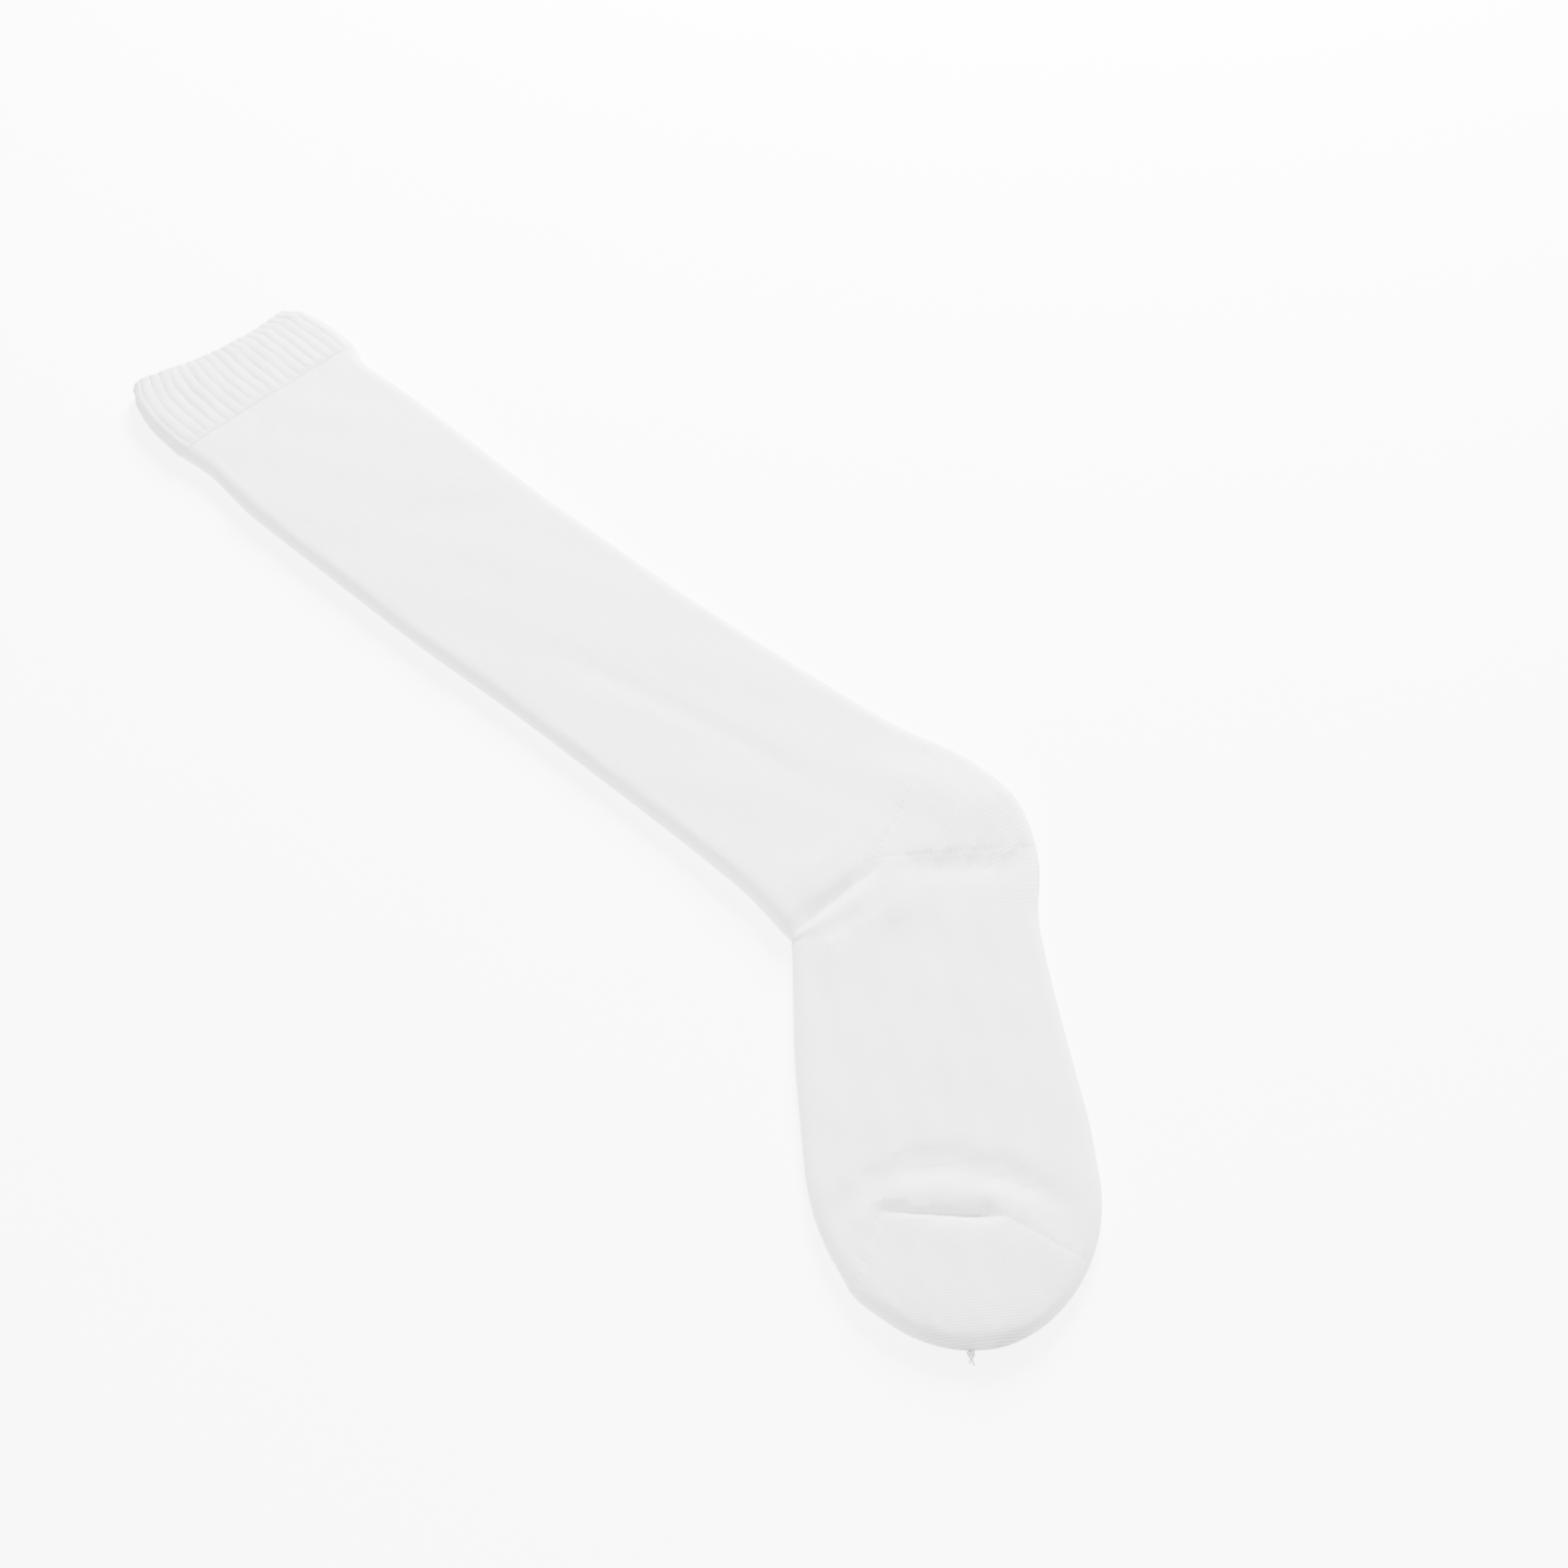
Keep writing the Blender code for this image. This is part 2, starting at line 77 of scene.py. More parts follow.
MOUTH_SLANT = math.radians(12.1)
CUFF_SLANT = math.radians(6.0)
MOUTH_SCOOP = 0.0062
SCOOP_MIDDLE = 0.008
SCOOP_HALF_WIDTH = 0.038
MOUTH_BACK = 0.0026

# The finer forms that the knit has
RIB_RELIEF = 0.00070
RIB_BASE = 0.45
RIB_RUN_OUT = 0.0035
RIB_WANDER = 0.035
LIP_SWELL = 0.0004
LIP_DEPTH = 0.0015
GORE_DEPTH = 0.00035
GORE_HALF_WIDTH = 0.0008
GORE_STITCH = 0.0024
SEAM_DEPTH = 0.0015
SEAM_HALF_WIDTH = 0.0007
SEAM_STITCH = 0.0012
SEAM_RUN_OUT = 0.011
SEAM_THREAD = 0.00042
UNEVENNESS = 0.00016
WALE_PITCH = 0.00115
COURSE_PITCH = 0.00095
KNOT_SIZE = 0.0031
KNOT_YARN = 0.00055

# Mesh fineness
EDGE_STEPS = 9
FACE_STEPS = 52
LEG_RINGS = 140
ANKLE_RINGS = 46
FOOT_RINGS = 30
TOE_RINGS = 62
RIB_POINTS = 8
CUFF_RINGS = 30
LIP_RINGS = 6
CUFF_LINING_RINGS = 10

# The view: the camera's lens in pixels of the 1569-pixel frame, its height, its place over the
# floor measured from the middle of the cuff's edge, and where it looks
PHOTO_WIDTH = 1569
FOCAL_PIXELS = 1400.0
SENSOR_WIDTH = 36.0
CAMERA_HEIGHT = 0.5079
CAMERA_FROM_CUFF = (-0.2053, -0.5437)
CAMERA_HEADING = math.radians(50.0)
CAMERA_PITCH = math.radians(62.0)

# The light: an even sky, and one soft light low behind the sock
SKY_STRENGTH = 2.9
KEY_PLACE = (1.25, 0.65, 0.70)
KEY_SIZE = 0.6
KEY_POWER = 215.0
FLOOR_GLOW = 3.5
FOOT_LIGHT_PLACE = (-0.12, -0.42, 0.75)
FOOT_LIGHT_SIZE = 0.35
FOOT_LIGHT_POWER = 6.0

LEG_SECTIONS = (
    # down, instep, heel, loft
    (0.000, 0.785, 0.95, 0.92),
    (0.024, 0.885, 1.055, 1.00),
    (0.072, 0.995, 1.085, 1.00),
    (0.120, 1.02, 1.065, 0.98),
    (0.155, 0.99, 0.975, 0.98),
    (0.240, 1.06, 0.98, 1.02),
    (0.480, 1.05, 0.925, 1.00),
    (0.650, 0.992, 0.935, 0.98),
    (0.860, 0.975, 1.03, 1.02),
    (0.930, 0.99, 1.08, 1.08),
)
ANKLE_SECTIONS = (
    # turned, instep, heel, loft
    (0.00, 0.955, 1.085, 1.12),
    (0.33, 0.970, 1.130, 1.12),
    (0.50, 0.975, 1.083, 1.08),
    (0.70, 0.975, 0.991, 1.02),
    (1.00, 0.975, 0.851, 1.00),
)
FOOT_SECTIONS = (
    # along, instep, sole, loft
    (0.13, 1.011, 0.858, 1.00),
    (0.33, 1.049, 0.892, 1.00),
    (0.55, 1.056, 0.933, 0.96),
    (0.66, 1.059, 0.928, 0.94),
    (1.00, 1.059, 0.928, 0.86),
)
TOE_CORNER = {"along": 0.862, "half_width": 0.035, "reach": 0.030}
TOE_ROUND = {
    # side: (start as a share of INSTEP_LENGTH, roundness)
    "instep": (0.56, 2.07),
    "sole": (0.65, 1.88),
}
FOLDS = (
    # name, frame, from, through, to, half_width, rise
    ("instep crease", "leg", (0.985, -0.74), (1.003, -0.33), (1.017, -0.03), 0.046, -0.40),
    ("above the crease", "leg", (0.955, -0.60), (0.968, -0.30), (0.980, -0.02), 0.070, 0.12),
    ("below the crease", "leg", (1.030, -0.60), (1.048, -0.30), (1.060, -0.02), 0.090, 0.14),
    ("heel swelling", "leg", (0.950, 0.20), (1.010, 0.36), (1.080, 0.42), 0.200, 0.28),
    ("under the heel", "leg", (1.028, -0.02), (1.078, 0.17), (1.132, 0.42), 0.062, -0.26),
    ("long leg crease", "leg", (0.600, -0.20), (0.780, -0.02), (0.930, 0.07), 0.075, -0.12),
    ("calf fold", "leg", (0.345, -0.25), (0.428, 0.20), (0.480, 0.50), 0.120, -0.09),
    ("toe fold", "foot", (0.715, -0.49), (0.594, -0.10), (0.720, 0.36), 0.041, -0.31),
    ("toe ridge", "foot", (0.700, -0.44), (0.648, -0.09), (0.745, 0.27), 0.044, 0.17),
    ("seam valley", "foot", (0.672, -0.40), (0.700, -0.08), (0.735, 0.24), 0.028, -0.12),
)
HEEL_GORE_TIP = (1.010, -0.048)
HEEL_LEG_EDGE = (0.968, 0.74)
HEEL_SOLE_EDGE = (1.135, 0.52)
TOE_SEAM_ENDS = ((0.682, -0.295), (0.722, 0.120))
TOE_GORE_ENDS = ((0.920, -0.455), (0.930, 0.560))

BEND_LENGTH = BEND_RADIUS * FOOT_TURN
FULL_LENGTH = LEG_LENGTH + BEND_LENGTH + INSTEP_LENGTH
HALF_LEG = LEG_WIDTH / 2
HALF_FOOT = FOOT_WIDTH / 2
PIVOT = np.array([-BEND_RADIUS, -LEG_LENGTH])
FOOT_AXIS = np.array([-math.sin(FOOT_TURN), -math.cos(FOOT_TURN)])
FOOT_ACROSS = np.array([math.cos(FOOT_TURN), -math.sin(FOOT_TURN)])
FOOT_START = PIVOT + BEND_RADIUS * FOOT_ACROSS


def section_rows():
    """Every section as (distance down the sock, instep reach, heel reach, loft), in metres."""
    rows = []
    for down, instep, heel, loft in LEG_SECTIONS:
        rows.append((down * LEG_LENGTH, instep * HALF_LEG, heel * HALF_LEG, loft * LOFT))
    for turned, instep, heel, loft in ANKLE_SECTIONS:
        distance = LEG_LENGTH + turned * BEND_LENGTH
        rows.append((distance, instep * BEND_RADIUS, heel * HALF_FOOT, loft * LOFT))
    for along, instep, sole, loft in FOOT_SECTIONS:
        distance = LEG_LENGTH + BEND_LENGTH + along * INSTEP_LENGTH
        rows.append((distance, instep * HALF_FOOT, sole * HALF_FOOT, loft * LOFT))
    return np.array(rows)


ROWS = section_rows()


def smooth_curve(column, at):
    """A smooth curve through a column of the sections that never swings past its values."""
    places = ROWS[:, 0]
    values = ROWS[:, column]
    step = np.diff(places)
    slope = np.diff(values) / step
    product = slope[:-1] * slope[1:]
    total = slope[:-1] + slope[1:]
    tangent = np.zeros(len(values))
    tangent[1:-1] = np.where(product > 0, 2 * product / np.where(product > 0, total, 1.0), 0.0)
    i = np.clip(np.searchsorted(places, at) - 1, 0, len(step) - 1)
    t = (at - places[i]) / step[i]
    start = values[i] * (1 + 2 * t) * (1 - t) ** 2 + tangent[i] * step[i] * t * (1 - t) ** 2
    end = values[i + 1] * t * t * (3 - 2 * t) + tangent[i + 1] * step[i] * t * t * (t - 1)
    return start + end


def narrowing(distance, side):
    """How much of its width the toe has left at a distance down the sock."""
    start, roundness = TOE_ROUND[side]
    first = LEG_LENGTH + BEND_LENGTH + start * INSTEP_LENGTH
    share = np.clip((distance - first) / (FULL_LENGTH - first), 0.0, 1.0)
    return (1.0 - share ** roundness) ** (1.0 / roundness)


def reaches(distance):
    """The distances from the middle line to the instep edge and to the heel edge."""
    instep = smooth_curve(1, distance) * narrowing(distance, "instep")
    along = (distance - LEG_LENGTH - BEND_LENGTH) / INSTEP_LENGTH
    from_corner = (along - TOE_CORNER["along"]) / TOE_CORNER["half_width"]
    instep = instep + TOE_CORNER["reach"] * HALF_FOOT * np.exp(-from_corner ** 2)
    heel = smooth_curve(2, distance) * narrowing(distance, "sole")
    return instep, heel


def plan_points(distance, across):
    """Points seen from above, from distances down the middle line and across it."""
    fade = np.maximum(0.0, 1.0 - distance / CUFF_LENGTH)
    past_cuff = np.clip(2.0 - distance / CUFF_LENGTH, 0.0, 1.0)
    slant = CUFF_SLANT * past_cuff + (MOUTH_SLANT - CUFF_SLANT) * fade
    scoop = MOUTH_SCOOP * np.maximum(0.0, 1.0 - ((across - SCOOP_MIDDLE) / SCOOP_HALF_WIDTH) ** 2)
    back = (MOUTH_BACK + scoop) * fade
    leg = np.stack([across, -distance - across * np.tan(slant) - back], axis=-1)
    turned = np.clip((distance - LEG_LENGTH) / BEND_RADIUS, 0.0, FOOT_TURN)
    outwards = np.stack([np.cos(turned), -np.sin(turned)], axis=-1)
    onwards = np.maximum(0.0, distance - LEG_LENGTH - BEND_LENGTH)
    foot = PIVOT + (BEND_RADIUS + across)[..., None] * outwards + onwards[..., None] * FOOT_AXIS
    return np.where((distance <= LEG_LENGTH)[..., None], leg, foot)


def outline():
    """The two edges and the toe, seen from above, as one open line from mouth to mouth."""
    foot_middle = LEG_LENGTH + BEND_LENGTH + 0.5 * INSTEP_LENGTH
    even = np.linspace(-0.02 * LEG_LENGTH, foot_middle, 160)
    toe = foot_middle + (FULL_LENGTH - foot_middle) * np.sin(np.linspace(0.0, math.pi / 2, 60))
    stations = np.concatenate([even, toe[1:]])
    instep, heel = reaches(np.maximum(stations, 0.0))
    return np.vstack([plan_points(stations, -instep), plan_points(stations, heel)[::-1]])


def line_distance(points, line):
    """How far points are from an open line, and how far along it their nearest places are."""
    start = line[:-1]
    run = line[1:] - start
    length = np.maximum((run * run).sum(1), 1e-12)
    before = np.concatenate([[0.0], np.cumsum(np.sqrt(length))])[:-1]
    flat = points.reshape(-1, 2)
    away = np.empty(len(flat))
    along = np.empty(len(flat))
    for first in range(0, len(flat), 4000):
        part = flat[first:first + 4000, None, :]
        share = np.clip(((part - start) * run).sum(2) / length, 0.0, 1.0)
        gap = np.sqrt(((start + run * share[..., None] - part) ** 2).sum(2))
        nearest = gap.argmin(1)
        rows = np.arange(len(nearest))
        away[first:first + 4000] = gap[rows, nearest]
        along[first:first + 4000] = before[nearest] + share[rows, nearest] * np.sqrt(length[nearest])
    return away.reshape(points.shape[:-1]), along.reshape(points.shape[:-1])


def place(region, spot):
    """A (down or along, across) place in shares, as a point seen from above."""
    along, across = spot
    if region == "leg":
        return np.array([across * LEG_WIDTH, -along * LEG_LENGTH])
    return FOOT_START + along * INSTEP_LENGTH * FOOT_AXIS + across * FOOT_WIDTH * FOOT_ACROSS


OUTLINE = outline()
HEEL_LINE = np.array([place("leg", spot) for spot in (HEEL_SOLE_EDGE, HEEL_GORE_TIP, HEEL_LEG_EDGE)])
TOE_SPOTS = (TOE_GORE_ENDS[0], TOE_SEAM_ENDS[0], TOE_SEAM_ENDS[1], TOE_GORE_ENDS[1])
TOE_LINE = np.array([place("foot", spot) for spot in TOE_SPOTS])
SEAM_LINE = TOE_LINE[1:3]


def fold_rise(points):
    """The height that the folds add to the upper face."""
    total = np.zeros(points.shape[:-1])
    for _, region, first, through, last, half_width, rise in FOLDS:
        a, b, c = (place(region, spot) for spot in (first, through, last))
        bend = 2 * b - (a + c) / 2
        share = np.linspace(0.0, 1.0, 25)[:, None]
        line = a * (1 - share) ** 2 + 2 * bend * share * (1 - share) + c * share ** 2
        width = half_width * (LEG_WIDTH if region == "leg" else FOOT_WIDTH)
        length = np.linalg.norm(np.diff(line, axis=0), axis=1).sum()
        away, along = line_distance(points, line)
        fade = np.sin(math.pi * np.clip(along / length, 0.0, 1.0))
        total += rise * LOFT * np.exp(-2.0 * (away / width) ** 2) * np.minimum(1.0, 1.5 * fade)
    return total


def unevenness(points):
    """The slight waviness of relaxed knit."""
    x = points[..., 0]
    y = points[..., 1]
    waves = np.sin(x * 210 + y * 90) + np.sin(y * 160 - x * 75 + 1.3) + np.sin(x * 330 - y * 240 + 0.4)
    fine = np.sin(x * 610 + y * 420 + 2.0) * np.sin(y * 530 - x * 380)
    return UNEVENNESS * (waves + 0.8 * fine)


def seam_relief(points):
    """How far the gore lines and the toe seam sink into the upper face."""
    away, along = line_distance(points, HEEL_LINE)
    toe_away, toe_along = line_distance(points, TOE_LINE)
    sunk = np.zeros(points.shape[:-1])
    for gap, run in ((away, along), (toe_away, toe_along)):
        stitch = 0.65 + 0.35 * np.cos(2 * math.pi * run / GORE_STITCH)
        sunk += GORE_DEPTH * stitch * np.exp(-(gap / GORE_HALF_WIDTH) ** 2)
    seam_away, seam_along = line_distance(points, SEAM_LINE)
    seam_length = np.linalg.norm(SEAM_LINE[1] - SEAM_LINE[0])
    fade = np.clip(np.minimum(seam_along, seam_length - seam_along) / SEAM_RUN_OUT, 0.0, 1.0)
    sunk += SEAM_DEPTH * fade * np.exp(-(seam_away / SEAM_HALF_WIDTH) ** 2)
    return sunk


def face_heights(distance, across, points):
    """The heights of the lower and upper faces."""
    loft = smooth_curve(3, distance)
    inset = np.minimum(1.0, line_distance(points, OUTLINE)[0] / EDGE_ROUND)
    rounding = np.sqrt(np.maximum(0.0, 1.0 - (1.0 - inset) ** 2))
    instep, heel = reaches(distance)
    centred = (2 * across + instep - heel) / np.maximum(instep + heel, 1e-6)
    crown = CROWN * np.maximum(0.0, 1.0 - centred * centred) * loft / LOFT
    raised = crown + fold_rise(points) + unevenness(points)
    edge = EDGE_HEIGHT * loft
    return edge * (1.0 - rounding), edge + (loft - edge + raised) * rounding


def ring_places(distance):
    """The places across each ring of the plain knit, from the instep edge to the heel edge."""
    instep, heel = reaches(distance)
    width = (instep + heel)[:, None]
    edge = np.minimum(EDGE_ROUND, 0.3 * width)
    arc = 1.0 - np.cos(np.linspace(0.0, math.pi / 2, EDGE_STEPS + 1))[:-1]
    middle = np.linspace(0.0, 1.0, FACE_STEPS + 1)
    left = -instep[:, None] + edge * arc
    between = -instep[:, None] + edge + (width - 2 * edge) * middle
    right = heel[:, None] - edge * arc[::-1]
    return np.hstack([left, between, right])


def plain_rings(stations):
    """Closed rings of points of the plain knit, over the upper face and back under it."""
    across = ring_places(stations)
    distance = np.repeat(stations[:, None], across.shape[1], axis=1)
    points = plan_points(distance, across)
    low, high = face_heights(distance, across, points)
    upper = np.concatenate([points, high[..., None]], axis=2)
    lower = np.concatenate([points, low[..., None]], axis=2)
    return np.concatenate([upper, lower[:, -2:0:-1]], axis=1)


def find_shift():
    """How far the sock's own origin, the middle of the cuff's edge, is from the shared one."""
    low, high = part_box("ribbed_cuff")
    rings = cuff_surface(np.array([0.0, CUFF_LENGTH]))[0]
    own = (rings.reshape(-1, 3).min(0) + rings.reshape(-1, 3).max(0)) / 2
    middle = (np.array(low) + np.array(high)) / 2
    return np.array([middle[0] - own[0], middle[1] - own[1], 0.0])


def resample(rings, count):
    """The same rings with their points spaced evenly round the girth."""
    closed = np.concatenate([rings, rings[:, :1]], axis=1)
    steps = np.linalg.norm(np.diff(closed, axis=1), axis=2)
    girth = np.concatenate([np.zeros((len(rings), 1)), np.cumsum(steps, axis=1)], axis=1)
    even = np.arange(count) / count
    made = np.empty((len(rings), count, 3))
    for i, ring in enumerate(closed):
        for k in range(3):
            made[i, :, k] = np.interp(even * girth[i, -1], girth[i], ring[:, k])
    return made


def outward_normals(rings):
    """The directions in which the rings' points face, across the sock's length."""
    along = np.roll(rings, -1, axis=1) - np.roll(rings, 1, axis=1)
    outwards = np.cross(along, np.array([0.0, -1.0, 0.0]))
    outwards /= np.maximum(np.linalg.norm(outwards, axis=2), 1e-9)[..., None]
    centre = rings.mean(1, keepdims=True)
    if (outwards * (rings - centre)).sum() < 0:
        outwards = -outwards
    return outwards


def cuff_surface(stations):
    """Rings of the cuff's smooth surface, and the directions in which they face."""
    rings = resample(plain_rings(stations), RIB_COUNT * RIB_POINTS)
    rings[..., 2] += RIB_DEPTH
    return rings, outward_normals(rings)


def rib_offset(stations):
    """How far each point of the cuff stands out or in, for its ribs."""
    column = np.arange(RIB_COUNT * RIB_POINTS) / RIB_POINTS
    down = stations[:, None]
    wander = RIB_WANDER * (np.sin(down * 190 + column * 0.9) + 0.6 * np.sin(down * 420 + column * 1.7))
    phase = 2 * math.pi * (column[None, :] + wander)
    profile = np.sqrt(np.abs(np.cos(phase / 2)) + 1e-6)
    end = np.clip((CUFF_LENGTH - down) / RIB_RUN_OUT, 0.0, 1.0)
    fade = end * end * (3 - 2 * end)
    return (RIB_RELIEF * (profile - RIB_BASE) + 0.00012) * fade - RIB_DEPTH * 0.6 * (1 - fade)


def empty_selection():
    """Leaves nothing selected or active."""
    bpy.ops.object.select_all(action="DESELECT")
    bpy.context.view_layer.objects.active = None


def cylinder_of_rings(name, columns, rings, closed_tip=False):
    """An open cylinder with a given number of points round it and rings along it."""
    empty_selection()
    bpy.ops.mesh.primitive_cylinder_add(vertices=columns, radius=1.0, depth=2.0, end_fill_type="NOTHING")
    tube = bpy.context.object
    tube.name = name
    tube.data.name = name
    bpy.ops.object.mode_set(mode="EDIT")
    bpy.ops.mesh.select_mode(type="EDGE")
    bpy.ops.mesh.select_all(action="DESELECT")
    mesh = bmesh.from_edit_mesh(tube.data)
    for edge in mesh.edges:
        a, b = edge.verts
        edge.select_set(abs(a.co.z - b.co.z) > 1.0)
    bmesh.update_edit_mesh(tube.data)
    bpy.ops.mesh.subdivide(number_cuts=rings - 2)
    bpy.ops.object.mode_set(mode="OBJECT")
    return tube


def shape_tube(tube, points, courses, wales):
    """Moves a cylinder's points onto the rings and gives it the knit's own map."""
    count = len(tube.data.vertices)
    flat = np.empty(count * 3)
    tube.data.vertices.foreach_get("co", flat)
    flat = flat.reshape(-1, 3)
    rings, columns = points.shape[:2]
    ring = np.rint((1.0 - flat[:, 2]) / 2 * (rings - 1)).astype(int)
    column = np.rint(np.arctan2(flat[:, 1], flat[:, 0]) / (2 * math.pi) * columns).astype(int) % columns
    tube.data.vertices.foreach_set("co", points[ring, column].ravel())
    layer = tube.data.uv_layers.active or tube.data.uv_layers.new()
    layer.name = "knit"
    corners = np.empty(len(tube.data.loops), dtype=np.int32)
    tube.data.loops.foreach_get("vertex_index", corners)
    starts = np.empty(len(tube.data.polygons), dtype=np.int32)
    tube.data.polygons.foreach_get("loop_start", starts)
    corner_column = column[corners]
    for start in starts:
        four = corner_column[start:start + 4]
        if four.max() - four.min() > columns / 2:
            corner_column[start:start + 4] = np.where(four < columns / 2, four + columns, four)
    map_points = np.stack([wales[ring[corners], corner_column], courses[ring[corners]]], axis=1)
    layer.data.foreach_set("uv", map_points.ravel())
    tube.data.update()


def girth_counts(points, pitch):
    """The count of wales from the first column to each column, for every ring."""
    closed = np.concatenate([points, points[:, :1]], axis=1)
    steps = np.linalg.norm(np.diff(closed, axis=1), axis=2)
    girth = np.concatenate([np.zeros((len(points), 1)), np.cumsum(steps, axis=1)], axis=1)
    widest = girth[:, -1].max()
    total = round(widest / pitch)
    return girth / np.maximum(girth[:, -1:], 1e-6) * total


def finish_mesh(piece, angle=60):
    """Merges doubles, turns faces outwards and shades the piece smooth."""
    empty_selection()
    piece.select_set(True)
    bpy.context.view_layer.objects.active = piece
    bpy.ops.object.mode_set(mode="EDIT")
    bpy.ops.mesh.select_mode(type="VERT")
    bpy.ops.mesh.select_all(action="SELECT")
    bpy.ops.mesh.remove_doubles(threshold=0.000004)
    bpy.ops.mesh.normals_make_consistent(inside=False)
    bpy.ops.object.mode_set(mode="OBJECT")
    bpy.ops.object.shade_smooth_by_angle(angle=math.radians(angle))
    piece.data.update()


def apply_wall(piece, thickness):
    """Gives an open surface its knitted wall on the inner side."""
    empty_selection()
    piece.select_set(True)
    bpy.context.view_layer.objects.active = piece
    wall = piece.modifiers.new("wall", "SOLIDIFY")
    wall.thickness = thickness
    wall.offset = -1.0
    wall.use_even_offset = False
    bpy.ops.object.modifier_apply(modifier=wall.name)


def ribbed_cuff():
    """The elastic ribbed band: outer ribs, a rolled lip and the inner side."""
    outer = np.linspace(CUFF_LENGTH, LIP_DEPTH, CUFF_RINGS)
    inner = np.linspace(LIP_DEPTH, CUFF_LENGTH, CUFF_LINING_RINGS)
    surface, facing = cuff_surface(outer)
    outside = surface + facing * rib_offset(outer)[..., None]
    mouth, mouth_facing = cuff_surface(np.array([LIP_DEPTH]))
    mouth_offset = rib_offset(np.array([LIP_DEPTH]))[0][:, None]
    lip = []
    for i in range(1, LIP_RINGS):
        turn = math.pi * i / LIP_RINGS
        inwards = (WALL + LIP_SWELL) / 2 * (1 - math.cos(turn))
        onwards = LIP_DEPTH * math.sin(turn)
        ring = mouth[0] + mouth_facing[0] * (mouth_offset * (1 + math.cos(turn)) / 2 - inwards)
        ring = ring + np.array([0.0, onwards, 0.0])
        lip.append(ring)
    lining, lining_facing = cuff_surface(inner)
    inside = lining - lining_facing * (WALL - 0.3 * rib_offset(inner)[..., None] + 0.0001)
    points = np.concatenate([outside, np.array(lip), inside])
    points[..., 2] = np.maximum(points[..., 2], 0.0)
    along = np.concatenate([[0.0], np.cumsum(np.linalg.norm(np.diff(points, axis=0), axis=2).mean(1))])
    cuff = cylinder_of_rings("ribbed_cuff_knit", points.shape[1], len(points))
    shape_tube(cuff, points + SHIFT, along / COURSE_PITCH, girth_counts(points, WALE_PITCH))
    # the ring at the lower end of the cuff joins the outer side to the inner side
    empty_selection()
    cuff.select_set(True)
    bpy.context.view_layer.objects.active = cuff
    bpy.ops.object.mode_set(mode="EDIT")
    bpy.ops.mesh.select_mode(type="EDGE")
    bpy.ops.mesh.select_all(action="DESELECT")
    bpy.ops.mesh.select_non_manifold(extend=False, use_wire=False, use_boundary=True,
                                     use_multi_face=False, use_non_contiguous=False, use_verts=False)
    bpy.ops.mesh.bridge_edge_loops()
    bpy.ops.object.mode_set(mode="OBJECT")
    finish_mesh(cuff)
    return cuff


def plain_tube():
    """The plain knit from the cuff to the tip of the toe, as one open surface."""
    foot_start = LEG_LENGTH + BEND_LENGTH
    toe_start = foot_start + 0.54 * INSTEP_LENGTH
    ankle_start = LEG_LENGTH - 0.25 * HALF_LEG
    rounding = np.sin(np.linspace(0.0, math.pi / 2, TOE_RINGS + 1))
    stations = np.concatenate([
        np.linspace(CUFF_LENGTH, ankle_start, LEG_RINGS, endpoint=False),
        np.linspace(ankle_start, foot_start, ANKLE_RINGS, endpoint=False),
        np.linspace(foot_start, toe_start, FOOT_RINGS, endpoint=False),
        toe_start + (FULL_LENGTH - toe_start) * rounding])
    points = plain_rings(stations)
    tube = cylinder_of_rings("plain_knit", points.shape[1], len(points))
    shape_tube(tube, points + SHIFT, stations / COURSE_PITCH, girth_counts(points, WALE_PITCH))
    return tube


def choose_faces(tube, wanted):
    """Selects the faces whose middles pass a test, in edit mode."""
    mesh = bmesh.from_edit_mesh(tube.data)
    middles = np.array([tuple(face.calc_center_median()) for face in mesh.faces])
    chosen = wanted(middles - SHIFT)
    for face, pick in zip(mesh.faces, chosen):
        face.select_set(bool(pick))
    mesh.select_flush_mode()
    bmesh.update_edit_mesh(tube.data)


def split_along(tube, line):
    """Cuts the knit's mesh exactly along the straight stretches of a line."""
    for first, last in zip(line[:-1], line[1:]):
        run = (last - first) / np.linalg.norm(last - first)

        def near(middles, first=first, run=run, last=last):
            offset = middles[:, :2] - first
            along = offset @ run
            away = np.abs(offset @ np.array([run[1], -run[0]]))
            return (away < 0.006) & (along > -0.004) & (along < np.linalg.norm(last - first) + 0.004)

        bpy.ops.mesh.select_all(action="DESELECT")
        choose_faces(tube, near)
        spot = (first[0] + SHIFT[0], first[1] + SHIFT[1], 0.0)
        bpy.ops.mesh.bisect(plane_co=spot, plane_no=(run[1], -run[0], 0.0), threshold=0.00001)


def refine_near(tube, line, within):
    """Makes the knit's mesh finer on the upper face beside a line."""
    def near(middles):
        return (line_distance(middles[:, :2], line)[0] < within) & (middles[:, 2] > 0.55 * LOFT)
    bpy.ops.mesh.select_all(action="DESELECT")
    choose_faces(tube, near)
    bpy.ops.mesh.subdivide(number_cuts=1)


def inside_of(line):
    """A test for middles on the outer side of every stretch of a line."""
    def test(middles):
        kept = np.ones(len(middles), dtype=bool)
        for first, last in zip(line[:-1], line[1:]):
            run = last - first
            kept &= ((middles[:, :2] - first) @ np.array([-run[1], run[0]])) > 0
        return kept
    return test


